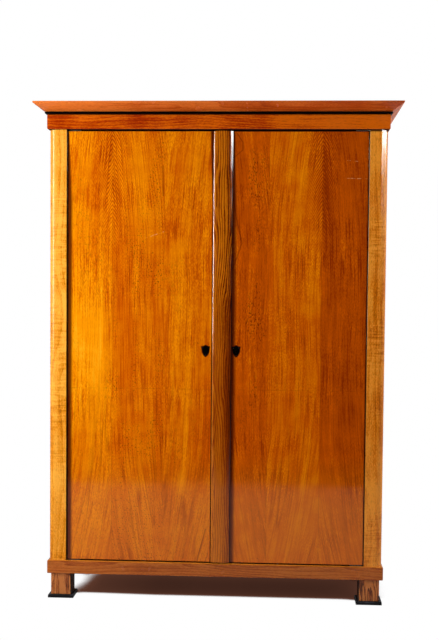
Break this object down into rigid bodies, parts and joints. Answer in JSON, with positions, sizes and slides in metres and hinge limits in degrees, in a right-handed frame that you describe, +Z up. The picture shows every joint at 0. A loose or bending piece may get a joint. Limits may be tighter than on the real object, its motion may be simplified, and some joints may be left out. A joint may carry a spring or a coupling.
{
  "type": "two-door cupboard",
  "caption": "Tall two-door cupboard with canted cornice, rounded corner posts, veneered doors on pivots, shelves inside, lock and bolts, standing on block feet.",
  "frame": {"origin": "under the middle of the outline, on the floor", "axes": "+Z up, +X to the right seen from the front, -Y towards the front with the doors"},
  "size_m": [1.462, 0.556, 2],
  "materials": {
    "door_veneer": "polished matched veneer",
    "polished_fruitwood": "polished fruitwood",
    "post_wood": "polished lighter fruitwood",
    "strip_wood": "polished darker fruitwood",
    "ebonised_wood": "black stained and polished",
    "softwood": "planed, oiled with age",
    "wrought_iron": "dark, worn bright on the rubbing faces"
  },
  "bodies": {
    "carcass": {"back_boards": "softwood", "base_rail_back": "softwood", "base_rail_front": "polished_fruitwood", "bead_front": "ebonised_wood", "bottom_board": "softwood", "carcass_pivots": "wrought_iron", "cornice_front": "polished_fruitwood", "cornice_glue_blocks": "softwood", "door_stop_rail": "softwood", "frieze_back": "softwood", "frieze_front": "polished_fruitwood", "left_base_rail": "polished_fruitwood", "left_bead": "ebonised_wood", "left_cornice": "polished_fruitwood", "left_frieze": "polished_fruitwood", "left_front_foot": "polished_fruitwood", "left_front_plinth": "ebonised_wood", "left_front_post": "post_wood", "left_rear_foot": "polished_fruitwood", "left_rear_plinth": "ebonised_wood", "left_rear_post": "polished_fruitwood", "left_side_panel": "polished_fruitwood", "left_side_rails": "polished_fruitwood", "right_base_rail": "polished_fruitwood", "right_bead": "ebonised_wood", "right_cornice": "polished_fruitwood", "right_frieze": "polished_fruitwood", "right_front_foot": "polished_fruitwood", "right_front_plinth": "ebonised_wood", "right_front_post": "post_wood", "right_rear_foot": "polished_fruitwood", "right_rear_plinth": "ebonised_wood", "right_rear_post": "polished_fruitwood", "right_side_panel": "polished_fruitwood", "right_side_rails": "polished_fruitwood", "shelf_1": "softwood", "shelf_2": "softwood", "shelf_3": "softwood", "shelf_battens": "softwood", "top_board": "softwood"},
    "bottom_bolt": {"bottom_bolt": "wrought_iron"},
    "right_door": {"cover_strip": "strip_wood", "lock_case": "wrought_iron", "right_door_hinge_stile": "softwood", "right_door_meeting_stile": "softwood", "right_door_panels": "softwood", "right_door_pivot_plates": "wrought_iron", "right_door_rails": "softwood", "right_door_veneer": "door_veneer", "right_escutcheon": "ebonised_wood"},
    "left_door": {"left_door_bolt_guides": "wrought_iron", "left_door_hinge_stile": "softwood", "left_door_meeting_stile": "softwood", "left_door_panels": "softwood", "left_door_pivot_plates": "wrought_iron", "left_door_rails": "softwood", "left_door_veneer": "door_veneer", "left_escutcheon": "ebonised_wood"},
    "lock_bolt": {"lock_bolt": "wrought_iron"},
    "top_bolt": {"top_bolt": "wrought_iron"}
  },
  "joints": [
    {"name": "left_door_swing", "type": "hinge", "parent": "carcass", "child": "left_door", "pos_m": [-0.5835, -0.206, 1], "axis": [0, 0, -1], "range_deg": [0, 115]},
    {"name": "right_door_swing", "type": "hinge", "parent": "carcass", "child": "right_door", "pos_m": [0.5835, -0.206, 1], "axis": [0, 0, 1], "range_deg": [0, 115]},
    {"name": "lock_bolt_slide", "type": "slide", "parent": "right_door", "child": "lock_bolt", "axis": [-1, 0, 0], "range_m": [0, 0.012]},
    {"name": "top_bolt_slide", "type": "slide", "parent": "left_door", "child": "top_bolt", "axis": [0, 0, 1], "range_m": [0, 0.014]},
    {"name": "bottom_bolt_slide", "type": "slide", "parent": "left_door", "child": "bottom_bolt", "axis": [0, 0, -1], "range_m": [0, 0.014]}
  ]
}
